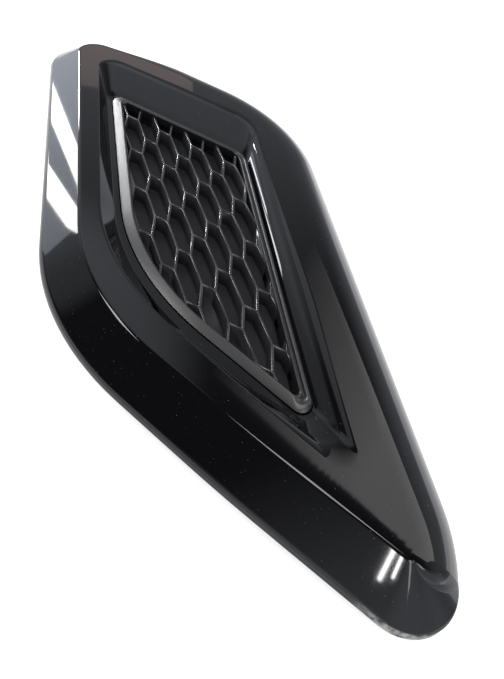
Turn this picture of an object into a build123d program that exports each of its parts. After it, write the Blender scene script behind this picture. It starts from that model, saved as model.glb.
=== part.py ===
from build123d import *
import os
from math import atan2, cos, degrees, radians, sin, tan

# Hood vent: a gloss surround that stands on the bonnet, with a blind honeycomb insert set in its pocket.
# Plan: +X towards the straight edge, +Y towards the wide far end, the tail at -Y. Millimetres and degrees.

# Overall places that everything else is set out from
half_width = 81.5
tail_shoulder_y = -164.0
far_right_y = 125.0
left_corner_y = -57.9

# Rim outline: offsets of its other corners, before they are rounded, and the radii from the tail shoulder on
far_break_x = 0.7
far_break_rise = 54.6
far_left_rise = 86.0
left_corner_inset = 4.6
lower_break_reach = 105.15
lower_bulge = 2.34
tail_tip_offset = (-17.6, -48.0)
rim_sides = ["right", "far_right", "far_left", "left", "lower_left", "lower_tail", "tail"]
rim_radii = [80.0, 100.0, 200.0, 30.0, 140.0, 800.0, 20.0]

# Heights above the rim plane, and the bevel round the rim
skirt_height = 4.0
top_height = 17.0
bevel_run = 18.0
crease_round = 3.0
wall = 2.5

# Insert frame: corner offsets from the anchors, from the tail end of its straight side counter-clockwise
frame_offsets = [(-46.5, 46.5), (-46.5, -49.9), (39.1, 1.7), (43.3, 26.6)]
frame_sides = ["right", "far", "left", "lower"]
frame_radii = [5.0, 16.0, 4.0, 135.0]
frame_widths = [4.8, 3.0, 6.0, 5.2]
frame_inner_radii = [2.0, 12.0, 2.0, 129.0]
frame_drop = 5.0
frame_chamfer = 1.3
insert_gap = 0.6

# Pocket: the ledge round the insert, and the mouth in the top face
ledge_widths = [2.5, 2.0, 3.5, 6.5]
ledge_radii = [6.0, 18.0, 5.0, 139.0]
ledge_drop = 7.5
mouth_offsets = [(-37.5, 14.5), (-37.5, -17.3), (30.9, 41.0), (30.9, 22.8)]
mouth_radii = [7.5, 25.0, 10.0, 130.0]
pocket_lean = 30.0

# Honeycomb: sheared cells whose short ribs lie along the far side of the frame
rib_length = 7.32
rib_angle = -34.3
edge_a_length = 15.77
edge_a_angle = -99.8
edge_b_length = 19.95
edge_b_angle = -80.3
rib_width = 1.5
first_vertex_offset = (48.0, -20.1)
mesh_drop = 6.5
cell_depth = 8.0
floor_thickness = 1.5
smallest_cell = 9.0
cell_columns = range(-2, 10)
cell_rows = range(-6, 18)

# Insert flange, its screw ears and hexagon-head screws on one side, and the hooks that trap it on the others
flange_width = 4.0
flange_thickness = 2.0
ear_width = 11.0
ear_margin = 5.5
ear_reach = 12.0
ear_hole_fit = 0.25
boss_radius = 4.0
screw_radius = 1.75
screw_fit = 0.05
screw_length = 7.0
screw_head_flats = 7.0
screw_head_height = 2.8
screw_stations = {"right": [85.0, 165.0]}
hook_width = 9.0
hook_thickness = 2.0
hook_fit = 0.3
hook_grip = 2.0
hook_stations = {"left": [50.0, 110.0], "lower": [55.0, 88.0]}

# Sealing channel behind the rim, and the foam in it
channel_width = 6.0
sealing_rib_width = 2.0
seal_fit = 0.2
seal_height = 2.5

# Clip blades, spring clips and locating pins
clip_reach = 10.0
blade_width = 12.0
blade_thickness = 2.4
pedestal_width = 16.0
pedestal_thickness = 6.0
pedestal_base = 1.0
clip_width = 10.0
clip_sheet = 0.6
clip_bulge = 3.2
clip_bulge_depth = 4.0
clip_nose = 1.2
clip_neck = 0.5
clip_fit = 0.1
clip_stations = {
    "right": [90.0, 240.0],
    "far_left": [40.0],
    "left": [90.0, 215.0],
    "lower_left": [45.0],
    "lower_tail": [40.0],
}
clip_inset = 22.0
pin_radius = 3.0
pin_pedestal = 9.0
pin_reach = 8.0
pin_tip = 1.0
pin_stations = {"far_right": [60.0], "lower_tail": [62.0]}
pin_inset = 27.0


def polar(length, angle):
    return Vector(length * cos(radians(angle)), length * sin(radians(angle)))


def inset(corners, distances):
    """Corners of a counter-clockwise outline after each side has moved inwards by its own distance."""
    lines = []
    for start, end, distance in zip(corners, corners[1:] + corners[:1], distances):
        along = (end - start).normalized()
        lines.append((start + Vector(-along.Y, along.X) * distance, along))
    moved = []
    for (p, u), (q, v) in zip(lines[-1:] + lines[:-1], lines):
        reach = ((q - p).X * v.Y - (q - p).Y * v.X) / (u.X * v.Y - u.Y * v.X)
        moved.append(p + u * reach)
    return moved


def grown(corners, distance):
    return inset(corners, [-distance] * len(corners))


def plate(corners, radii, height):
    """Flat face at a height, with its corners rounded."""
    return Pos(0, 0, height) * make_face(FilletPolyline(*corners, radius=radii, close=True))


def prism(face, height):
    return extrude(face, height, dir=(0, 0, 1))


def stations(corners, sides, distances, depth):
    """Places along the named sides of an outline, at a depth inside it and turned along the side."""
    places = []
    for side, alongs in distances.items():
        start = corners[sides.index(side)]
        end = corners[(sides.index(side) + 1) % len(corners)]
        direction = (end - start).normalized()
        for along in alongs:
            place = start + direction * along + Vector(-direction.Y, direction.X) * depth
            turn = degrees(atan2(direction.Y, direction.X))
            places.append(Pos(place.X, place.Y, 0) * Rot(0, 0, turn))
    return places


tail_shoulder = Vector(half_width, tail_shoulder_y)
far_right = Vector(half_width, far_right_y)
far_left = Vector(-half_width, far_right_y)
lower_left = Vector(-half_width, left_corner_y)
anchors = [tail_shoulder, far_right, far_left, lower_left]
frame_corners = [anchor + Vector(*offset) for anchor, offset in zip(anchors, frame_offsets)]
mouth_corners = [anchor + Vector(*offset) for anchor, offset in zip(anchors, mouth_offsets)]
first_vertex = far_left + Vector(*first_vertex_offset)
left_corner = lower_left + Vector(left_corner_inset, 0)
tail_tip = tail_shoulder + Vector(*tail_tip_offset)
lower_line = (tail_tip - left_corner).normalized()
rim_corners = [
    tail_shoulder,
    far_right,
    Vector(far_break_x, far_right_y + far_break_rise),
    far_left + Vector(0, far_left_rise),
    left_corner,
    left_corner + lower_line * lower_break_reach + Vector(lower_line.Y, -lower_line.X) * lower_bulge,
    tail_tip,
]
bevel_taper = degrees(atan2(bevel_run, top_height - skirt_height))
hollow_shoulder = skirt_height - wall * tan(radians(bevel_taper) / 2)
rib_near = wall + channel_width
rib_far = rib_near + sealing_rib_width
ledge_height = top_height - ledge_drop
flange_top = ledge_height - wall
ear_bottom = flange_top - flange_thickness
mesh_height = top_height - mesh_drop
cell_floor = mesh_height - cell_depth
screw_places = stations(frame_corners, frame_sides, screw_stations, -ear_reach)
hook_depth = -flange_width - hook_fit - hook_thickness / 2
hook_places = stations(frame_corners, frame_sides, hook_stations, hook_depth)
clip_places = stations(rim_corners, rim_sides, clip_stations, clip_inset)
pin_places = stations(rim_corners, rim_sides, pin_stations, pin_inset)


def outer_form():
    """Skirt, bevel and flat top, with the crease rounded."""
    rim = plate(rim_corners, rim_radii, 0)
    shoulder = plate(rim_corners, rim_radii, skirt_height)
    body = prism(rim, skirt_height) + extrude(shoulder, top_height - skirt_height, taper=bevel_taper)
    return fillet(body.edges().filter_by_position(Axis.Z, top_height, top_height), crease_round)


def hollow_form():
    """Space behind the skin, one wall inside the outer form and open below."""
    skirt_inside = grown(rim_corners, -wall)
    skirt_radii = [radius - wall for radius in rim_radii]
    lower = plate(skirt_inside, skirt_radii, hollow_shoulder)
    bevel = extrude(lower, top_height - wall - hollow_shoulder, taper=bevel_taper)
    return prism(plate(skirt_inside, skirt_radii, 0), hollow_shoulder) + bevel


def pocket_form(thickness):
    """Dished pocket from its ledge up to its mouth, or the back of its wall for a thickness."""
    outset = thickness * tan(radians(pocket_lean))
    ledge = inset(frame_corners, [-width - outset for width in ledge_widths])
    mouth = grown(mouth_corners, outset)
    lower = plate(ledge, [radius + outset for radius in ledge_radii], ledge_height - thickness)
    upper = plate(mouth, [radius + outset for radius in mouth_radii], top_height - thickness)
    return loft([lower, upper], ruled=True)


def channel_ring(near, far, height):
    """Ring that follows the rim between two distances inside it."""
    ring = plate(grown(rim_corners, -near), [radius - near for radius in rim_radii], 0)
    ring -= plate(grown(rim_corners, -far), [radius - far for radius in rim_radii], 0)
    return prism(ring, height)


def sealing_rib():
    """Inner wall of the sealing channel, up into the thickness of the bevel."""
    rise = 1 / tan(radians(bevel_taper))
    skin_below = hollow_shoulder + (rib_far - wall) * rise
    skin_above = skirt_height + rib_near * rise
    return channel_ring(rib_near, rib_far, (skin_below + skin_above) / 2)


def standing(section, base):
    """Boss or pedestal from a base height up into the skin."""
    return prism(Pos(0, 0, base) * section, top_height - base)


def clip_blade():
    """Thin blade below its pedestal, for a spring clip."""
    blade_low = clip_sheet + clip_fit - clip_reach
    return prism(Pos(0, 0, blade_low) * Rectangle(blade_width, blade_thickness), pedestal_base - blade_low)


def flange_hook():
    """Leg beside the flange, with a toe under it."""
    base = ear_bottom - hook_thickness
    leg = standing(Rectangle(hook_width, hook_thickness), base)
    toe_reach = hook_thickness / 2 + hook_fit + hook_grip
    toe = Pos(0, toe_reach / 2, base) * Rectangle(hook_width, toe_reach)
    return leg + prism(toe, hook_thickness)


def locating_pin():
    pin = prism(Pos(0, 0, -pin_reach) * Circle(pin_radius), pin_reach + pedestal_base)
    return chamfer(pin.faces().sort_by(Axis.Z)[0].edges(), pin_tip)


def make_surround():
    outer = outer_form()
    screw_boss = standing(Circle(boss_radius), flange_top)
    pedestal = standing(Rectangle(pedestal_width, pedestal_thickness), pedestal_base)
    pin_base = standing(Rectangle(pin_pedestal, pin_pedestal), pedestal_base)
    inside = [place * screw_boss for place in screw_places]
    inside += [place * flange_hook() for place in hook_places]
    inside += [place * pedestal for place in clip_places]
    inside += [place * pin_base for place in pin_places]
    body = outer - hollow_form() + sealing_rib() + pocket_form(wall)
    body += [feature & outer for feature in inside]
    body -= pocket_form(0)
    opening = plate(grown(frame_corners, insert_gap), [radius + insert_gap for radius in frame_radii], 0)
    body -= prism(opening, top_height)
    pilot = prism(Pos(0, 0, ear_bottom) * Circle(screw_radius + screw_fit), screw_length + screw_fit)
    body -= [place * pilot for place in screw_places]
    body += [place * clip_blade() for place in clip_places]
    return body + [place * locating_pin() for place in pin_places]


def honeycomb_cells():
    """Cell mouths inside the frame, each drawn in by half a rib."""
    rib = polar(rib_length, rib_angle)
    edge_a = polar(edge_a_length, edge_a_angle)
    edge_b = polar(edge_b_length, edge_b_angle)
    column_step = rib + (edge_b - edge_a) / 2
    row_step = (edge_a + edge_b) / 2
    field = plate(inset(frame_corners, frame_widths), frame_inner_radii, cell_floor)
    cells = []
    for column in cell_columns:
        for row in cell_rows:
            if (row + column) % 2:
                continue
            start = first_vertex + column_step * column + row_step * row
            ring = [start, start + rib, start + rib + edge_b, start + rib + edge_b + edge_a]
            ring += [start + edge_b + edge_a, start + edge_a]
            outline = grown(ring[::-1], -rib_width / 2)
            cell = field & (Pos(0, 0, cell_floor) * make_face(Polyline(*outline, close=True)))
            cells += [face for face in (cell.faces() if cell else []) if face.area > smallest_cell]
    return cells


def make_insert():
    bottom = cell_floor - floor_thickness
    frame_top = top_height - frame_drop
    body = prism(plate(frame_corners, frame_radii, bottom), frame_top - bottom)
    body -= prism(plate(inset(frame_corners, frame_widths), frame_inner_radii, mesh_height), frame_drop)
    body = chamfer(body.edges().filter_by_position(Axis.Z, frame_top, frame_top), frame_chamfer)
    flange_radii = [radius + flange_width for radius in frame_radii]
    flange = plate(grown(frame_corners, flange_width), flange_radii, ear_bottom)
    ear = Pos(0, (ear_reach - ear_margin) / 2) * Rectangle(ear_width, ear_reach + ear_margin)
    body += prism(flange, flange_thickness)
    body += [place * prism(Pos(0, 0, ear_bottom) * ear, flange_thickness) for place in screw_places]
    hole = prism(Pos(0, 0, ear_bottom) * Circle(screw_radius + ear_hole_fit), flange_thickness)
    body -= [place * hole for place in screw_places]
    return body - [prism(cell, mesh_height - cell_floor) for cell in honeycomb_cells()]


def make_seal():
    return channel_ring(wall + seal_fit, wall + channel_width - seal_fit, seal_height)


def make_screw():
    """Tapping screw, with its hexagon head down under an ear."""
    hexagon = RegularPolygon(screw_head_flats / 2, 6, major_radius=False)
    head = prism(Pos(0, 0, ear_bottom - screw_head_height) * hexagon, screw_head_height)
    return head + prism(Pos(0, 0, ear_bottom) * Circle(screw_radius), screw_length)


def make_clip():
    """Sheet folded round a blade, bowed out on both sides to catch behind the panel."""
    leg = blade_thickness / 2 + clip_fit + clip_sheet / 2
    nose = clip_sheet / 2 - clip_reach
    half = [(leg, clip_neck), (clip_bulge, -clip_bulge_depth), (leg, nose + clip_nose), (leg, nose)]
    path = Polyline(*half, *[(-y, z) for y, z in reversed(half)])
    section = trace(path, line_width=clip_sheet)
    return extrude(Plane.YZ * section, clip_width / 2, both=True)


rim_box = plate(rim_corners, rim_radii, 0).bounding_box()
to_frame = Pos(-rim_box.center().X, -rim_box.center().Y, clip_reach)
clip = make_clip()
screw = make_screw()
parts = {
    "surround": make_surround(),
    "honeycomb_insert": make_insert(),
    "rim_seal": make_seal(),
    "insert_screws": Compound(children=[place * screw for place in screw_places]),
}
for number, place in enumerate(clip_places, 1):
    parts[f"spring_clip_{number}"] = place * clip

os.makedirs("parts", exist_ok=True)
for name, part in parts.items():
    export_step(to_frame * part, f"parts/{name}.step")
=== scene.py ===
import math
import bmesh
import bpy
from mathutils import Matrix, Quaternion, Vector
from mathutils.bvhtree import BVHTree


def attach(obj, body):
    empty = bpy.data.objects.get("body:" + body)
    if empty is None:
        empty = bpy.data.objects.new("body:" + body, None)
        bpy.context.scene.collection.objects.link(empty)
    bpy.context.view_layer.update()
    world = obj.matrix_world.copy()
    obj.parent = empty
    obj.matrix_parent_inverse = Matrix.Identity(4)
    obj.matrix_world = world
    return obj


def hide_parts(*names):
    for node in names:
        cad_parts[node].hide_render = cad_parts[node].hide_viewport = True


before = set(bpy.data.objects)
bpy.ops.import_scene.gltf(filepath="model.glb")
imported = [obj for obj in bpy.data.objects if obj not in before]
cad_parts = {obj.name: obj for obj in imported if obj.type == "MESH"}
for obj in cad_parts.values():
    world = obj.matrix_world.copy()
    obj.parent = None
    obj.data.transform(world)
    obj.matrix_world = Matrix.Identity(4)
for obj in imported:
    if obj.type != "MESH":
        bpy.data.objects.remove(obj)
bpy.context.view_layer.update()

millimetre = 0.001    # in metres
metre = 1000.0        # in millimetres
rimLevel = 10.0       # height of the rim plane above the clip noses
weld = 0.002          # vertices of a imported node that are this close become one
planShift = Vector((-0.377, -1.082, 0.0))    # from the outline's own origin to the frame's


def linear(hexColour):
    # sRGB hex to the linear values that Blender's sockets take
    channels = [int(hexColour[i:i + 2], 16) / 255 for i in (1, 3, 5)]
    return [c / 12.92 if c <= 0.04045 else ((c + 0.055) / 1.055) ** 2.4 for c in channels] + [1.0]


def smoothStep(t):
    return t * t * (3 - 2 * t)


def mix(a, b, t):
    return a + (b - a) * t


def flat(x, y, z=0.0):
    return Vector((x, y, z))


def planCorners(corners):
    return [flat(*corner) + planShift for corner in corners]


def insetCorners(corners, distances):
    # corners of the outline whose sides are moved inwards, each by its own distance
    lines = []
    for i, corner in enumerate(corners):
        along = (corners[(i + 1) % len(corners)] - corner).normalized()
        lines.append((corner + flat(-along.y, along.x) * distances[i], along))
    moved = []
    for (p, u), (q, v) in zip(lines[-1:] + lines[:-1], lines):
        reach = ((q - p).x * v.y - (q - p).y * v.x) / (u.x * v.y - u.y * v.x)
        moved.append(p + u * reach)
    return moved


def spunChain(bm, first, centre, turn, steps, shift=(0, 0, 0)):
    # a chain of edges from one vertex: an arc, or a straight run where the turn is nothing
    chain = []
    current = first
    for _ in range(steps):
        made = bmesh.ops.spin(bm, geom=[current], cent=centre, axis=(0, 0, 1), angle=turn / steps, steps=1,
                              dvec=shift)["geom_last"]
        current = made[0]
        chain.append(current)
    return chain


def roundedLoop(bm, corners, radii, arcSteps, sideSteps):
    # spun arcs at the corners and straight sides between them; gives the loop's vertices in order, and for each
    # of them the side before, the side after and the share of the turn between the two
    arcs = []
    for i, (corner, radius) in enumerate(zip(corners, radii)):
        back = (corners[i - 1] - corner).normalized()
        ahead = (corners[(i + 1) % len(corners)] - corner).normalized()
        turn = math.pi - back.angle(ahead)
        start = corner + back * (radius * math.tan(turn / 2))
        arcs.append((start, start + flat(back.y, -back.x) * radius, turn))
    loop = [bm.verts.new(arcs[0][0])]
    places = []
    for i, (_, centre, turn) in enumerate(arcs):
        loop += spunChain(bm, loop[-1], centre, turn, arcSteps)
        places += [(i - 1, i, step / arcSteps) for step in range(arcSteps + 1)]
        onward = arcs[(i + 1) % len(arcs)][0] - loop[-1].co
        last = i == len(arcs) - 1
        loop += spunChain(bm, loop[-1], (0, 0, 0), 0.0, sideSteps - last, onward / sideSteps)
        places += [(i, i, 0.0)] * (sideSteps - 1)
    bm.edges.new((loop[-1], loop[0]))
    return loop, places


def blended(values, place):
    # value at a place on a rounded loop, from one value per side
    before, after, turn = place
    return mix(values[before], values[after], smoothStep(turn))


def loopEdges(bm, loop):
    return [bm.edges.get(pair) for pair in zip(loop, loop[1:] + loop[:1])]


def extrudeLoop(bm, loop, spots):
    # next ring of a swept section: extrudes the ring and puts each vertex at its spot
    made = bmesh.ops.extrude_edge_only(bm, edges=loopEdges(bm, loop))["geom"]
    fresh = {v for v in made if isinstance(v, bmesh.types.BMVert)}
    ring = []
    for vert, spot in zip(loop, spots):
        upper = next(e.other_vert(vert) for e in vert.link_edges if e.other_vert(vert) in fresh)
        upper.co = spot
        ring.append(upper)
    return ring


def roundCorner(before, corner, after, setback, steps):
    # points of a rounded corner in a section, from one side's tangent point to the other's
    u = before - corner
    v = after - corner
    back = corner + u * (min(setback[0], u.length) / u.length)
    on = corner + v * (min(setback[1], v.length) / v.length)
    points = []
    for step in range(steps + 1):
        t = step / steps
        points.append(back * (1 - t) ** 2 + corner * (2 * t * (1 - t)) + on * t ** 2)
    return points


def makePiece(name, bm, material, nodeName):
    bmesh.ops.scale(bm, vec=(millimetre,) * 3, verts=bm.verts)
    mesh = bpy.data.meshes.new(name)
    bm.to_mesh(mesh)
    bm.free()
    mesh.materials.append(material)
    piece = bpy.data.objects.new(name, mesh)
    bpy.context.scene.collection.objects.link(piece)
    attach(piece, "root")
    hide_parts(nodeName)
    return piece


def addNode(tree, kind, values=None, links=None, **settings):
    node = tree.nodes.new(kind)
    for name, value in settings.items():
        setattr(node, name, value)
    for socket, value in (values or {}).items():
        node.inputs[socket].default_value = value
    for socket, source in (links or {}).items():
        tree.links.new(source, node.inputs[socket])
    return node


def newMaterial(name):
    material = bpy.data.materials.new(name)
    material.use_nodes = True
    tree = material.node_tree
    shader = tree.nodes["Principled BSDF"]
    position = addNode(tree, "ShaderNodeTexCoord").outputs["Object"]
    return material, tree, shader, position


# injection-moulded ABS in high-gloss black: sharp reflections, thin dust, and a skirt whose colour is paler at the tip
glossAbs = {
    "colour": "#08080a", "roughness": 0.03, "hazeRoughness": 0.06, "hazeSize": 35.0, "hazeFrom": 0.35, "hazeFull": 0.75,
    "dustColour": "#8f9499", "dustSize": 0.9, "dustFrom": 0.715, "dustFull": 0.8, "dustCover": 0.5,
    "paleColour": "#b4b2ac", "palePlace": (47.0, -191.0, 12.0), "paleReach": 17.0, "paleCore": 6.0,
    "paleTop": 14.2, "paleBelow": 13.6, "patchNoiseSize": 3.0, "patchNoiseFrom": 0.35, "patchNoiseFull": 0.6,
}


def glossBlackAbs():
    a = glossAbs
    material, tree, shader, position = newMaterial("glossBlackAbs")
    haze = addNode(tree, "ShaderNodeTexNoise", {"Scale": metre / a["hazeSize"], "Detail": 4.0}, {"Vector": position})
    rough = addNode(tree, "ShaderNodeMapRange", {"From Min": a["hazeFrom"], "From Max": a["hazeFull"],
                    "To Min": a["roughness"], "To Max": a["hazeRoughness"]}, {"Value": haze.outputs[0]})
    speck = addNode(tree, "ShaderNodeTexNoise", {"Scale": metre / a["dustSize"], "Detail": 2.0}, {"Vector": position})
    dust = addNode(tree, "ShaderNodeMapRange", {"From Min": a["dustFrom"], "From Max": a["dustFull"],
                   "To Max": a["dustCover"]}, {"Value": speck.outputs[0]})
    dusty = addNode(tree, "ShaderNodeMix", None, {0: dust.outputs[0]}, data_type="RGBA")
    dusty.inputs[6].default_value = linear(a["colour"])
    dusty.inputs[7].default_value = linear(a["dustColour"])
    # pale patch: near its place, below the lip of the skirt, and uneven
    offset = addNode(tree, "ShaderNodeVectorMath", {1: [c * millimetre for c in a["palePlace"]]}, {0: position},
                     operation="SUBTRACT")
    away = addNode(tree, "ShaderNodeVectorMath", None, {0: offset.outputs[0]}, operation="LENGTH")
    patch = addNode(tree, "ShaderNodeMapRange", {"From Min": a["paleReach"] * millimetre,
                    "From Max": a["paleCore"] * millimetre}, {"Value": away.outputs["Value"]})
    height = addNode(tree, "ShaderNodeSeparateXYZ", None, {0: position})
    below = addNode(tree, "ShaderNodeMapRange", {"From Min": a["paleTop"] * millimetre,
                    "From Max": a["paleBelow"] * millimetre}, {"Value": height.outputs["Z"]})
    patchNoise = addNode(tree, "ShaderNodeTexNoise", {"Scale": metre / a["patchNoiseSize"], "Detail": 4.0}, {"Vector": position})
    uneven = addNode(tree, "ShaderNodeMapRange", {"From Min": a["patchNoiseFrom"], "From Max": a["patchNoiseFull"]},
                     {"Value": patchNoise.outputs[0]})
    paleShare = addNode(tree, "ShaderNodeMath", None, {0: patch.outputs[0], 1: below.outputs[0]}, operation="MULTIPLY")
    paleShare = addNode(tree, "ShaderNodeMath", None, {0: paleShare.outputs[0], 1: uneven.outputs[0]}, operation="MULTIPLY")
    final = addNode(tree, "ShaderNodeMix", {7: linear(a["paleColour"])}, {0: paleShare.outputs[0], 6: dusty.outputs[2]},
                    data_type="RGBA")
    tree.links.new(final.outputs[2], shader.inputs["Base Color"])
    tree.links.new(rough.outputs[0], shader.inputs["Roughness"])
    return material


# moulded polypropylene in satin black: a fine spark-eroded grain breaks up the reflections
polypropylene = {"colour": "#0d0d0e", "roughness": 0.38, "specular": 1.0, "grain": 0.35, "grainDepth": 0.04,
                 "grainStrength": 0.35}


def satinBlackPolypropylene():
    p = polypropylene
    material, tree, shader, position = newMaterial("satinBlackPolypropylene")
    shader.inputs["Base Color"].default_value = linear(p["colour"])
    shader.inputs["Roughness"].default_value = p["roughness"]
    shader.inputs["Specular IOR Level"].default_value = p["specular"]
    grain = addNode(tree, "ShaderNodeTexNoise", {"Scale": metre / p["grain"], "Detail": 2.0}, {"Vector": position})
    bump = addNode(tree, "ShaderNodeBump", {"Strength": p["grainStrength"], "Distance": p["grainDepth"] * millimetre},
                   {"Height": grain.outputs[0]})
    tree.links.new(bump.outputs[0], shader.inputs["Normal"])
    return material


# the same polypropylene inside the honeycomb: dull tool faces with drawn marks, and rib edges that are rubbed
# smooth, so that they catch thin lights
# its colour is painted lighter than the frame's: painted fill light in the deep cells, and lighter still on the rib
# faces as painted light
honeycomb = {
    "colour": "#252528", "roughness": 0.45, "markLength": 9.0, "markWidth": 0.55, "markDepth": 0.05,
    "markStrength": 0.25, "markRoughness": 0.2, "litRibColour": "#2a2a2c", "edgeRoughness": 0.16, "edgeSpecular": 0.9,
    "edgeWear": 0.1, "noiseFrom": 0.3, "noiseFull": 0.7,
}


def rubbedPolypropylene():
    h = honeycomb
    material, tree, shader, position = newMaterial("rubbedPolypropylene")
    # rib faces: a little lighter than the cells, painted light on the rib tops
    shader.inputs["Base Color"].default_value = linear(h["litRibColour"])
    shader.inputs["Specular IOR Level"].default_value = h["edgeSpecular"]
    wear = addNode(tree, "ShaderNodeTexNoise", {"Scale": metre / h["markLength"]}, {"Vector": position})
    rough = addNode(tree, "ShaderNodeMapRange", {"From Min": h["noiseFrom"], "From Max": h["noiseFull"],
                    "To Min": h["edgeRoughness"], "To Max": h["edgeRoughness"] + h["edgeWear"]},
                    {"Value": wear.outputs[0]})
    tree.links.new(rough.outputs[0], shader.inputs["Roughness"])
    return material


def drawnPolypropylene():
    h = honeycomb
    material, tree, shader, position = newMaterial("drawnPolypropylene")
    # cells: lighter than the frame's same polypropylene, painted fill light in the recessed cells
    shader.inputs["Base Color"].default_value = linear(h["colour"])
    marksPerMetre = [metre / h[size] for size in ("markLength", "markWidth", "markWidth")]
    stretched = addNode(tree, "ShaderNodeVectorMath", {1: marksPerMetre}, {0: position}, operation="MULTIPLY")
    marks = addNode(tree, "ShaderNodeTexNoise", {"Scale": 1.0, "Detail": 3.0}, {"Vector": stretched.outputs[0]})
    rough = addNode(tree, "ShaderNodeMapRange", {"From Min": h["noiseFrom"], "From Max": h["noiseFull"],
                    "To Min": h["roughness"], "To Max": h["roughness"] + h["markRoughness"]},
                    {"Value": marks.outputs[0]})
    bump = addNode(tree, "ShaderNodeBump", {"Strength": h["markStrength"], "Distance": h["markDepth"] * millimetre},
                   {"Height": marks.outputs[0]})
    tree.links.new(rough.outputs[0], shader.inputs["Roughness"])
    tree.links.new(bump.outputs[0], shader.inputs["Normal"])
    return material


glossMaterial = glossBlackAbs()
satinMaterial = satinBlackPolypropylene()
cellMaterial = drawnPolypropylene()
edgeMaterial = rubbedPolypropylene()
print("materials made")


# surround: corners in millimetres before they are rounded, from the tail shoulder counter-clockwise
surround = {
    "corners": [(81.5, -164.0), (81.5, 125.0), (0.7, 179.6), (-81.5, 211.0), (-76.9, -57.9), (-7.7, -137.1),
                (63.9, -212.0)],
    "radii": [80.0, 100.0, 200.0, 30.0, 140.0, 800.0, 20.0],
    "innerRadii": [30.0, 75.0, 178.0, 10.9, 120.9, 780.9, 1.5],
    "creaseSoftness": [1.0, 0.9, 0.3, 0.0, 0.0, 0.0, 1.0],
    "rollRuns": [25.0, 25.0, 25.0, 25.0, 25.0, 19.1, 23.0],
    "lips": [1.1, 1.1, 1.5, 3.0, 2.0, 1.2, 1.2],
    "tip": 6, "foldAt": 0.42, "foldEnd": 1.0, "hair": 0.04, "skirt": 4.0, "top": 17.0, "run": 18.0, "foot": 0.15,
    "crease": 1.1, "rollShare": 0.32, "topReach": 20.0, "lipSteps": 6, "creaseSteps": 20, "arcSteps": 28,
    "sideCuts": 14, "sharpFrom": 35,
}
pocket = {
    "mouth": [(44.0, -149.5), (44.0, 107.7), (-50.6, 166.0), (-50.6, -35.1)],
    "mouthRadii": [7.5, 25.0, 10.0, 130.0],
    "softness": [1.0, 0.4, 0.0, 0.0],
    "ledgeWidths": [2.5, 2.0, 3.5, 6.5], "ledgeRadii": [6.0, 18.0, 5.0, 139.0],
    "ledgeRise": [0.0, 0.0, 1.2, 1.2], "ledgeDrop": 7.5, "gap": 0.6, "edge": 0.9, "cove": 0.6, "coveShare": 0.6,
    "softReach": 3.0, "softPower": 1.8, "tailFade": 75.0, "edgeSteps": 10, "arcSteps": 32, "sideCuts": 64,
}
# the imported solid's back: which of its faces show from above and go, and how its open edges are found again
backCut = {"lift": 0.05, "upward": 0.02, "level": 0.99, "hookHeight": 6.5, "within": 0.02}
# insert: a frame with a shape of its own on each side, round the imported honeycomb
insertFrame = {
    "corners": [(35.0, -117.5), (35.0, 75.1), (-42.4, 126.7), (-38.2, -31.3)],
    "radii": [5.0, 16.0, 4.0, 135.0], "widths": [4.8, 3.0, 6.0, 5.2], "innerRadii": [2.0, 12.0, 2.0, 129.0],
    "rows": [0.0, 0.02, 0.06, 0.12, 0.2, 0.28, 0.36, 0.44, 0.5, 0.55, 0.58, 0.62, 0.66, 0.7, 0.73, 0.77, 0.83, 0.89,
             0.94, 0.98, 1.0],
    "drop": 5.0, "foot": 3.2, "sideDrop": 0.2, "noseFullness": 2.6, "grooveFrom": 0.57, "grooveTo": 0.73,
    "beadHeight": 0.7, "facetFoot": -0.3, "facetTo": 0.8, "facetBow": 0.9, "facetFall": 0.8, "thinBase": 0.85,
    "thinSwell": 0.15, "thinEnds": 0.7, "arcSteps": 24, "sideCuts": 12, "sharpFrom": 40,
}
ribs = {"drop": 6.5, "edge": 0.45, "edgeSteps": 1, "flatWithin": 0.5, "above": 0.05, "within": 0.01, "turn": 1.0,
        "upward": 0.05, "cellIndex": 1, "edgeIndex": 2}
topLevel = rimLevel + surround["top"]
ledgeLevel = topLevel - pocket["ledgeDrop"]
wholeSides = (math.inf, math.inf)    # setback of a corner that is rounded all along both its sides


def outerSection(place):
    # share of the way from the rim to the flat top, and height above the rim, from the foot up
    s = surround
    before, after, turn = place
    swell = smoothStep(turn)
    if after == s["tip"]:
        # the bevel keeps on to a fold, and the roll swells from there
        swell = min(max((turn - s["foldAt"]) / (s["foldEnd"] - s["foldAt"]), 0.0), 1.0)
    softness = mix(s["creaseSoftness"][before], s["creaseSoftness"][after], swell)
    lip = (blended(s["lips"], place),) * 2
    rollRun = blended(s["rollRuns"], place)
    foot = Vector((0.0, s["foot"]))
    shoulder = Vector((0.0, s["skirt"]))
    crease = Vector((s["run"], s["top"]))
    onTop = crease + Vector((s["topReach"], 0.0))
    crisp = [foot] + roundCorner(foot, shoulder, crease, lip, s["lipSteps"])
    crisp += roundCorner(shoulder, crease, onTop, (s["crease"],) * 2, s["creaseSteps"])
    # the rolled side leaves the skirt steeply and flattens out on the band
    aim = Vector((rollRun * s["rollShare"], s["top"]))
    rolled = [foot] + roundCorner(foot, shoulder, aim, lip, s["lipSteps"])
    rolled += roundCorner(rolled[-1], aim, Vector((rollRun, s["top"])), wholeSides, s["creaseSteps"])
    reach = crisp[-1].x
    return [Vector((c.x / reach, c.y)).lerp(Vector((r.x / rollRun, r.y)), softness) for c, r in zip(crisp, rolled)]


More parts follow.
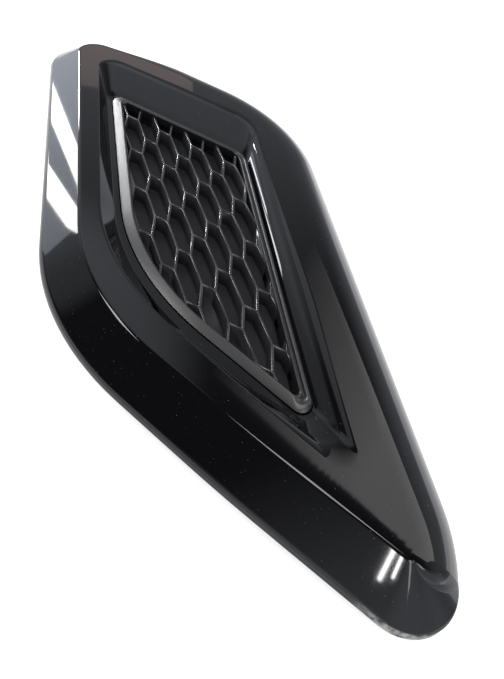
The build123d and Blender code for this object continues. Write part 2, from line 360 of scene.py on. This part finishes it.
def wallSection(mouth, ledge, opening, place, mouthTail):
    # wall of the pocket at one place, from the band down to the insert
    p = pocket
    top = mouth + flat(0, 0, topLevel)
    low = ledge + flat(0, 0, ledgeLevel + blended(p["ledgeRise"], place))
    rest = opening + flat(0, 0, ledgeLevel)
    outward = (mouth - ledge).normalized()
    section = roundCorner(top + outward * surround["topReach"], top, low, (p["edge"],) * 2, p["edgeSteps"])
    cove = min(p["cove"], p["coveShare"] * (rest - low).length)
    section += roundCorner(top, low, rest, (p["cove"], cove), p["edgeSteps"])
    section.append(rest)
    # on the right the wall is one soft curve, and the crisp lower edge fades into it towards the tail
    crispness = smoothStep(min((mouth - mouthTail).length / p["tailFade"], 1.0))
    softness = max(blended(p["softness"], place), 1 - crispness)
    soft = top + outward * p["softReach"]
    for step, point in enumerate(section):
        t = step / (len(section) - 1)
        curved = soft.lerp(rest, t)
        curved.z = mix(topLevel, ledgeLevel, t ** p["softPower"])
        section[step] = point.lerp(curved, softness)
    return section


def openEdges(bm, level):
    return [e for e in bm.edges if len(e.link_faces) == 1
            and all(abs(v.co.z - level) < backCut["within"] for v in e.verts)]


def packedMesh(nodeName):
    bm = bmesh.new()
    bm.from_mesh(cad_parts[nodeName].data)
    bmesh.ops.scale(bm, vec=(1 / millimetre,) * 3, verts=bm.verts)
    bmesh.ops.remove_doubles(bm, verts=bm.verts, dist=weld)
    return bm


def joinBack(bm, foot, opening):
    # the back with its bosses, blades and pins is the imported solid's, less what shows from above
    packed = packedMesh("surround")
    bmesh.ops.recalc_face_normals(packed, faces=packed.faces)
    tree = BVHTree.FromBMesh(packed)
    seen = []
    for face in packed.faces:
        centre = face.calc_center_median()
        lifted = centre + face.normal * backCut["lift"]
        above = face.normal.z > backCut["upward"] and tree.ray_cast(lifted, (0, 0, 1))[0] is None
        hookTop = face.normal.z > backCut["level"] and centre.z < rimLevel + backCut["hookHeight"]
        beside = abs(face.normal.z) < backCut["upward"]
        beside = beside and rimLevel + backCut["lift"] < centre.z < rimLevel + surround["skirt"]
        beside = beside and tree.ray_cast(lifted, face.normal)[0] is None
        if (above and not hookTop) or beside:
            seen.append(face)
    bmesh.ops.delete(packed, geom=seen, context="FACES")
    loose = [v for v in packed.verts if not v.link_faces]
    bmesh.ops.delete(packed, geom=loose, context="VERTS")
    mesh = bpy.data.meshes.new("surroundBack")
    packed.to_mesh(mesh)
    packed.free()
    bm.from_mesh(mesh)
    bpy.data.meshes.remove(mesh)
    newFoot = openEdges(bm, rimLevel)
    newLedge = [e for e in openEdges(bm, ledgeLevel) if not any(v in opening for v in e.verts)]
    print("back joined at", len(newFoot), "foot and", len(newLedge), "opening edges; other open edges",
          sum(len(e.link_faces) == 1 for e in bm.edges) - len(newFoot) - len(newLedge) - len(foot) - len(opening))
    for loop, edges in ((foot, newFoot), (opening, newLedge)):
        made = bmesh.ops.bridge_loops(bm, edges=loopEdges(bm, loop) + edges)["faces"]
        print("seam", len(made), "faces, area", sum(f.calc_area() for f in made))


def buildSurround():
    s = surround
    bm = bmesh.new()
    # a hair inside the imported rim, whose facets cut its arcs short
    corners = insetCorners(planCorners(s["corners"]), [s["hair"]] * len(s["corners"]))
    foot, places = roundedLoop(bm, corners, s["radii"], s["arcSteps"], s["sideCuts"])
    runs = [mix(s["run"] + s["crease"], rollRun, softness)
            for rollRun, softness in zip(s["rollRuns"], s["creaseSoftness"])]
    inner, _ = roundedLoop(bm, insetCorners(corners, runs), s["innerRadii"], s["arcSteps"], s["sideCuts"])
    starts = [v.co.copy() for v in foot]
    ends = [v.co.copy() for v in inner]
    bmesh.ops.delete(bm, geom=inner, context="VERTS")
    sections = [outerSection(place) for place in places]
    crease = foot
    for step in range(len(sections[0])):
        spots = [start.lerp(end, section[step].x) + flat(0, 0, rimLevel + section[step].y)
                 for start, end, section in zip(starts, ends, sections)]
        if step == 0:
            for vert, spot in zip(foot, spots):
                vert.co = spot
        else:
            crease = extrudeLoop(bm, crease, spots)

    # pocket: mouth, ledge and opening have the same number of vertices, and a wall runs through each three
    mouthCorners = planCorners(pocket["mouth"])
    frameCorners = planCorners(insertFrame["corners"])
    outlines = []
    for outline, radii in (
            (mouthCorners, pocket["mouthRadii"]),
            (insetCorners(frameCorners, [-w for w in pocket["ledgeWidths"]]), pocket["ledgeRadii"]),
            (insetCorners(frameCorners, [-pocket["gap"]] * 4), [r + pocket["gap"] for r in insertFrame["radii"]])):
        loop, places = roundedLoop(bm, outline, radii, pocket["arcSteps"], pocket["sideCuts"])
        outlines.append((loop, [v.co.copy() for v in loop]))
    mouthLoop, mouth = outlines[0]
    ledgeLoop, ledge = outlines[1]
    openingLoop, opening = outlines[2]
    for vert in ledgeLoop + openingLoop:
        bm.verts.remove(vert)
    walls = [wallSection(m, l, o, place, mouthCorners[0]) for m, l, o, place in zip(mouth, ledge, opening, places)]
    for vert, wall in zip(mouthLoop, walls):
        vert.co = wall[0]
    ring = mouthLoop
    for step in range(1, len(walls[0])):
        ring = extrudeLoop(bm, ring, [wall[step] for wall in walls])
    bmesh.ops.triangle_fill(bm, edges=loopEdges(bm, crease) + loopEdges(bm, mouthLoop), use_beauty=True,
                            normal=(0, 0, 1))

    joinBack(bm, foot, ring)
    bmesh.ops.recalc_face_normals(bm, faces=bm.faces)
    for face in bm.faces:
        face.smooth = True
    piece = makePiece("surroundSkin", bm, glossMaterial, "surround")
    piece.data.set_sharp_from_angle(angle=math.radians(s["sharpFrom"]))
    piece.modifiers.new("evenNormals", "WEIGHTED_NORMAL").keep_sharp = True
    return piece


surroundPiece = buildSurround()
print("surround", len(surroundPiece.data.polygons), "faces")


def bullnose(share):
    return 1 - abs(2 * share - 1) ** insertFrame["noseFullness"]


def groovedStrip(share):
    # rounded strip outside, a narrow groove, then a low bead beside the cells
    f = insertFrame
    if share <= f["grooveFrom"]:
        return bullnose(share / f["grooveFrom"])
    if share < f["grooveTo"]:
        return 0.0
    return f["beadHeight"] * bullnose((share - f["grooveTo"]) / (1 - f["grooveTo"]))


def thinEdge(share):
    f = insertFrame
    return f["thinBase"] + f["thinSwell"] * math.sin(math.pi * share) if 0.0 < share < 1.0 else f["thinEnds"]


def leaningFacet(share):
    # low at the gap, rising to a rounded edge beside the cells
    f = insertFrame
    rise = min(share / f["facetTo"], 1.0)
    fall = max((share - f["facetTo"]) / (1 - f["facetTo"]), 0.0)
    return mix(f["facetFoot"], 1.0, rise ** f["facetBow"]) - f["facetFall"] * fall ** 2


def buildInsert():
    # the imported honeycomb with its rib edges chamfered, and a rounded frame laid over its rim
    f = insertFrame
    bm = packedMesh("honeycomb_insert")
    bmesh.ops.dissolve_limit(bm, angle_limit=math.radians(ribs["flatWithin"]), verts=bm.verts, edges=bm.edges)
    bmesh.ops.recalc_face_normals(bm, faces=bm.faces)
    meshLevel = topLevel - ribs["drop"]
    packedFrame = [face for face in bm.faces if max(v.co.z for v in face.verts) > meshLevel + ribs["above"]]
    ribEdges = [e for e in bm.edges if all(abs(v.co.z - meshLevel) < ribs["within"] for v in e.verts)
                and e.is_convex and e.calc_face_angle(0) > ribs["turn"]]
    bmesh.ops.delete(bm, geom=packedFrame, context="FACES_ONLY")
    bmesh.ops.bevel(bm, geom=ribEdges, offset=ribs["edge"], offset_type="OFFSET", segments=ribs["edgeSteps"],
                    profile=0.5, affect="EDGES", material=-1, clamp_overlap=False)
    bm.normal_update()
    rubbed = 0
    for face in bm.faces:
        onRib = face.normal.z > ribs["upward"] and face.calc_center_median().z > meshLevel - ribs["edge"]
        face.material_index = ribs["edgeIndex"] if onRib else ribs["cellIndex"]
        rubbed += onRib
    print("rib edges", len(ribEdges), "rubbed faces", rubbed)
    corners = planCorners(f["corners"])
    outer, places = roundedLoop(bm, corners, f["radii"], f["arcSteps"], f["sideCuts"])
    inner, _ = roundedLoop(bm, insetCorners(corners, f["widths"]), f["innerRadii"], f["arcSteps"], f["sideCuts"])
    outside = [v.co.copy() for v in outer]
    within = [v.co.copy() for v in inner]
    for vert in inner:
        bm.verts.remove(vert)
    crown = topLevel - f["drop"]
    side = meshLevel - f["sideDrop"]
    foot = flat(0, 0, side - f["foot"])
    for vert, spot in zip(outer, outside):
        vert.co = spot + foot
    ring = outer
    for row in f["rows"]:
        shapes = [groovedStrip(row), thinEdge(row), leaningFacet(row), leaningFacet(row)]
        levels = [mix(side, crown, blended(shapes, place)) for place in places]
        ring = extrudeLoop(bm, ring, [o.lerp(w, row) + flat(0, 0, level)
                                      for o, w, level in zip(outside, within, levels)])
    ring = extrudeLoop(bm, ring, [spot + foot for spot in within])
    bmesh.ops.bridge_loops(bm, edges=loopEdges(bm, outer) + loopEdges(bm, ring))
    for face in bm.faces:
        face.smooth = face.material_index != ribs["edgeIndex"]
    piece = makePiece("honeycombInsert", bm, satinMaterial, "honeycomb_insert")
    piece.data.materials.append(cellMaterial)
    piece.data.materials.append(edgeMaterial)
    piece.data.set_sharp_from_angle(angle=math.radians(f["sharpFrom"]))
    return piece


insertPiece = buildInsert()
print("insert", len(insertPiece.data.polygons), "faces")


# closed-cell foam: matt, with open pores cut through its skin
foam = {"colour": "#242424", "roughness": 0.95, "pore": 0.7, "poreDepth": 0.25, "poreStrength": 0.8}
# cold-formed steel screws in black zinc: dull sheen, a little mottled
zinc = {"colour": "#26272a", "metallic": 0.8, "roughness": 0.42, "mottle": 2.5, "mottleSpan": 0.12}
# hardened spring sheet with zinc-flake paint: silvery grey, faintly speckled
spring = {"colour": "#a6a8ab", "roughness": 0.38, "flake": 0.4, "flakeDark": 0.75, "flakeLight": 1.15}


def foamRubber():
    material, tree, shader, position = newMaterial("foamRubber")
    shader.inputs["Base Color"].default_value = linear(foam["colour"])
    shader.inputs["Roughness"].default_value = foam["roughness"]
    pores = addNode(tree, "ShaderNodeTexVoronoi", {"Scale": metre / foam["pore"]}, {"Vector": position})
    bump = addNode(tree, "ShaderNodeBump", {"Strength": foam["poreStrength"],
                   "Distance": foam["poreDepth"] * millimetre}, {"Height": pores.outputs["Distance"]})
    tree.links.new(bump.outputs[0], shader.inputs["Normal"])
    return material


def blackZincSteel():
    material, tree, shader, position = newMaterial("blackZincSteel")
    shader.inputs["Base Color"].default_value = linear(zinc["colour"])
    shader.inputs["Metallic"].default_value = zinc["metallic"]
    mottle = addNode(tree, "ShaderNodeTexNoise", {"Scale": metre / zinc["mottle"], "Detail": 3.0}, {"Vector": position})
    rough = addNode(tree, "ShaderNodeMapRange", {"To Min": zinc["roughness"] - zinc["mottleSpan"],
                    "To Max": zinc["roughness"] + zinc["mottleSpan"]}, {"Value": mottle.outputs[0]})
    tree.links.new(rough.outputs[0], shader.inputs["Roughness"])
    return material


def springSteel():
    material, tree, shader, position = newMaterial("springSteel")
    shader.inputs["Metallic"].default_value = 1.0
    shader.inputs["Roughness"].default_value = spring["roughness"]
    flakes = addNode(tree, "ShaderNodeTexNoise", {"Scale": metre / spring["flake"], "Detail": 2.0},
                     {"Vector": position})
    shade = addNode(tree, "ShaderNodeMapRange", {"To Min": spring["flakeDark"], "To Max": spring["flakeLight"]},
                    {"Value": flakes.outputs[0]})
    tint = addNode(tree, "ShaderNodeMix", {0: 1.0, 6: linear(spring["colour"])}, {7: shade.outputs[0]},
                   data_type="RGBA", blend_type="MULTIPLY")
    tree.links.new(tint.outputs[2], shader.inputs["Base Color"])
    return material


def dressPackedNodes():
    finishes = {"rim_seal": foamRubber(), "insert_screws": blackZincSteel()}
    springMaterial = springSteel()
    for name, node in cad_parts.items():
        if name in ("surround", "honeycomb_insert"):
            continue
        node.data.materials.clear()
        node.data.materials.append(finishes.get(name, springMaterial))


dressPackedNodes()
print("seal, screws and clips finished")


# camera: place and axes fitted to the photograph
view = {"place": (-59.4, -237.1, 212.3), "right": (0.960, -0.162, 0.229), "forward": (0.279, 0.627, -0.727),
        "lens": 31.81, "sensor": 36.0, "clipStart": 0.01}


def buildCamera():
    data = bpy.data.cameras.new("camera")
    data.lens = view["lens"]
    data.sensor_width = view["sensor"]
    data.clip_start = view["clipStart"]
    camera = bpy.data.objects.new("camera", data)
    bpy.context.scene.collection.objects.link(camera)
    forward = Vector(view["forward"]).normalized()
    right = (Vector(view["right"]) - forward * forward.dot(Vector(view["right"]))).normalized()
    up = right.cross(forward)
    turn = Matrix((right, up, -forward)).transposed()
    camera.matrix_world = Matrix.Translation(Vector(view["place"]) * millimetre) @ turn.to_4x4()
    bpy.context.scene.camera = camera


buildCamera()


# floor: pale, and shaded for mirrored rays in a strip along the lower edge; starts and ends are metres across the strip
floorSheet = {"colour": "#f2f2f2", "size": 14.0, "roughness": 0.9, "glow": 0.72, "shade": 0.1,
              "across": (0.723, 0.691, 0.0), "nearStart": -0.16, "nearEnd": -0.30, "farStart": -0.07, "farEnd": 0.01}
# room: dim overhead and lighter towards the horizon and its sides, with soft glows round some directions
room = {
    "colour": "#f3f6ff", "dark": 0.06, "horizon": 0.45, "horizonTo": 0.22,
    "sides": [("Y", 0.52, 0.9, 0.36), ("Y", -0.3, -0.75, 0.95), ("X", 0.5, 0.85, 0.5)],
    "bandGlow": 0.9, "bandFrom": 0.10, "bandTo": 0.13, "besideFrom": 0.62, "besideTo": 0.70,
    "glows": [((-0.08, 0.62, 0.78), 0.955, 0.985, 0.65), ((-0.366, 0.821, 0.438), 0.93, 0.995, 0.45),
              ((-0.697, 0.595, 0.399), 0.95, 0.99, 0.35)],
}
# overhead: strips side by side, each a little brighter, so that their glow fades along the band
overhead = {"strips": 24, "start": -0.5, "fade": 0.6, "reach": 0.95, "depth": 0.56, "glow": 1.6,
            "place": (0.851, 0.693, 1.205), "along": (0.6314, -0.7755)}
softBoxes = [
    # lower crease and the pair of streaks at the tail
    {"name": "creaseBox", "place": (0.0, -0.05, 1.6), "target": (0.0, -0.05, 0.0), "size": (0.5, 0.5), "radiance": 7.0},
    {"name": "tube1", "place": (-0.670, -1.165, 1.5), "target": (0.05, -0.18, 0.02), "size": (0.014, 0.15),
     "radiance": 40.0},
    {"name": "tube2", "place": (-0.636, -1.185, 1.5), "target": (0.05, -0.18, 0.02), "size": (0.014, 0.10),
     "radiance": 40.0},
    # left bevel and the two panes in it
    {"name": "farLeftBox", "place": (-0.80, 1.15, 0.2), "target": (-0.05, 0.05, 0.02), "size": (0.7, 0.3),
     "radiance": 1.5, "colour": "#e4ecfb"},
    {"name": "farPane", "place": (-0.85, 1.326, 0.2585), "target": (-0.068, 0.07, 0.02), "size": (0.045, 0.32),
     "radiance": 12.0, "roll": -49.5},
    {"name": "nearPane", "place": (-0.967, 1.173, 0.2995), "target": (-0.067, 0.007, 0.022), "size": (0.059, 0.36),
     "radiance": 12.0, "roll": -38.5},
    # frame of the insert, far edge of the surround, and a fill from the near side
    {"name": "frameEdgeBox", "place": (-0.564, 1.372, 0.484), "target": (-0.03, 0.05, 0.02), "size": (0.16, 0.16),
     "radiance": 75.0},
    {"name": "frameBox", "place": (-0.966, 0.35, 1.10), "target": (-0.02, -0.04, 0.02), "size": (0.45, 0.35),
     "radiance": 10.0},
    {"name": "warmPanel", "place": (0.06, 1.84, 0.80), "target": (0.0, 0.0, 0.02), "size": (0.5, 0.22),
     "radiance": 0.6, "colour": "#f2d6cd"},
    {"name": "nearBox", "place": (0.35, -1.0, 1.25), "target": (0.0, 0.0, 0.0), "size": (0.5, 0.5), "radiance": 4.0},
]


def softBox(name, place, target, size, radiance, colour="#ffffff", roll=0.0):
    data = bpy.data.lights.new(name, "AREA")
    data.shape = "RECTANGLE"
    data.size, data.size_y = size
    data.energy = radiance * math.pi * size[0] * size[1]
    data.color = linear(colour)[:3]
    lamp = bpy.data.objects.new(name, data)
    lamp.location = place
    turn = (Vector(target) - Vector(place)).to_track_quat("-Z", "Y") @ Quaternion((0, 0, 1), math.radians(roll))
    lamp.rotation_euler = turn.to_euler()
    bpy.context.scene.collection.objects.link(lamp)


def paleFloor():
    f = floorSheet
    material, tree, shader, position = newMaterial("paleFloor")
    shader.inputs["Base Color"].default_value = linear(f["colour"])
    shader.inputs["Roughness"].default_value = f["roughness"]
    shader.inputs["Emission Color"].default_value = (1, 1, 1, 1)
    path = addNode(tree, "ShaderNodeLightPath")
    mirrored = addNode(tree, "ShaderNodeMath", None, {0: path.outputs["Is Glossy Ray"],
                       1: path.outputs["Is Transmission Ray"]}, operation="ADD", use_clamp=True)
    # the strip of floor along the lower edge lies in the part's own shade, and the skirt mirrors it
    across = addNode(tree, "ShaderNodeVectorMath", {1: f["across"]}, {0: position}, operation="DOT_PRODUCT")
    near = addNode(tree, "ShaderNodeMapRange", {"From Min": f["nearStart"], "From Max": f["nearEnd"],
                   "To Min": f["shade"]}, {"Value": across.outputs["Value"]})
    far = addNode(tree, "ShaderNodeMapRange", {"From Min": f["farStart"], "From Max": f["farEnd"],
                  "To Min": f["shade"]}, {"Value": across.outputs["Value"]})
    lit = addNode(tree, "ShaderNodeMath", None, {0: near.outputs[0], 1: far.outputs[0]}, operation="MAXIMUM")
    mirrored = addNode(tree, "ShaderNodeMath", None, {0: mirrored.outputs[0], 1: lit.outputs[0]}, operation="MULTIPLY")
    seen = addNode(tree, "ShaderNodeMath", None, {0: path.outputs["Is Camera Ray"], 1: mirrored.outputs[0]},
                   operation="ADD", use_clamp=True)
    glow = addNode(tree, "ShaderNodeMath", {1: f["glow"]}, {0: seen.outputs[0]}, operation="MULTIPLY")
    tree.links.new(glow.outputs[0], shader.inputs["Emission Strength"])
    return material


def dimRoom():
    world = bpy.data.worlds.new("dimRoom")
    world.use_nodes = True
    tree = world.node_tree
    direction = addNode(tree, "ShaderNodeTexCoord").outputs["Generated"]
    parts = addNode(tree, "ShaderNodeSeparateXYZ", None, {0: direction})
    lights = []
    for axis, start, full, strength in room["sides"]:
        lights.append(addNode(tree, "ShaderNodeMapRange", {"From Min": start, "From Max": full, "To Max": strength},
                              {"Value": parts.outputs[axis]}, interpolation_type="SMOOTHSTEP"))
    # low band on the right, which the right roll mirrors
    low = addNode(tree, "ShaderNodeMapRange", {"From Min": room["bandFrom"], "From Max": room["bandTo"],
                  "To Min": room["bandGlow"], "To Max": 0.0}, {"Value": parts.outputs["Z"]})
    beside = addNode(tree, "ShaderNodeMapRange", {"From Min": room["besideFrom"], "From Max": room["besideTo"]},
                     {"Value": parts.outputs["X"]})
    lights.append(addNode(tree, "ShaderNodeMath", None, {0: low.outputs[0], 1: beside.outputs[0]},
                          operation="MULTIPLY"))
    for aim, outer, inner, strength in room["glows"]:
        toward = addNode(tree, "ShaderNodeVectorMath", {1: aim}, {0: direction}, operation="DOT_PRODUCT")
        lights.append(addNode(tree, "ShaderNodeMapRange", {"From Min": outer, "From Max": inner, "To Max": strength},
                              {"Value": toward.outputs["Value"]}, interpolation_type="SMOOTHSTEP"))
    total = addNode(tree, "ShaderNodeMapRange", {"From Min": 0.0, "From Max": room["horizonTo"],
                    "To Min": room["horizon"], "To Max": room["dark"]}, {"Value": parts.outputs["Z"]})
    for light in lights:
        total = addNode(tree, "ShaderNodeMath", None, {0: total.outputs[0], 1: light.outputs[0]}, operation="ADD")
    tree.links.new(total.outputs[0], tree.nodes["Background"].inputs["Strength"])
    tree.nodes["Background"].inputs["Color"].default_value = linear(room["colour"])
    bpy.context.scene.world = world


def buildStudio():
    bm = bmesh.new()
    bmesh.ops.create_grid(bm, x_segments=1, y_segments=1, size=floorSheet["size"] / 2)
    mesh = bpy.data.meshes.new("floor")
    bm.to_mesh(mesh)
    bm.free()
    mesh.materials.append(paleFloor())
    floor = bpy.data.objects.new("floor", mesh)
    bpy.context.scene.collection.objects.link(floor)
    dimRoom()
    strips = overhead["strips"]
    for number in range(1, strips + 1):
        left = overhead["start"] + overhead["fade"] * (number - 1) / strips
        right = left + overhead["fade"] / strips if number < strips else overhead["reach"]
        aside = flat(*overhead["along"]) * ((left + right) / 2)
        softBox(f"overheadBox{number}", flat(*overhead["place"]) + aside, aside, (right - left, overhead["depth"]),
                overhead["glow"] * number / strips)
    for box in softBoxes:
        softBox(**box)


buildStudio()
bpy.context.scene.view_settings.view_transform = "Standard"
print("camera and studio made")
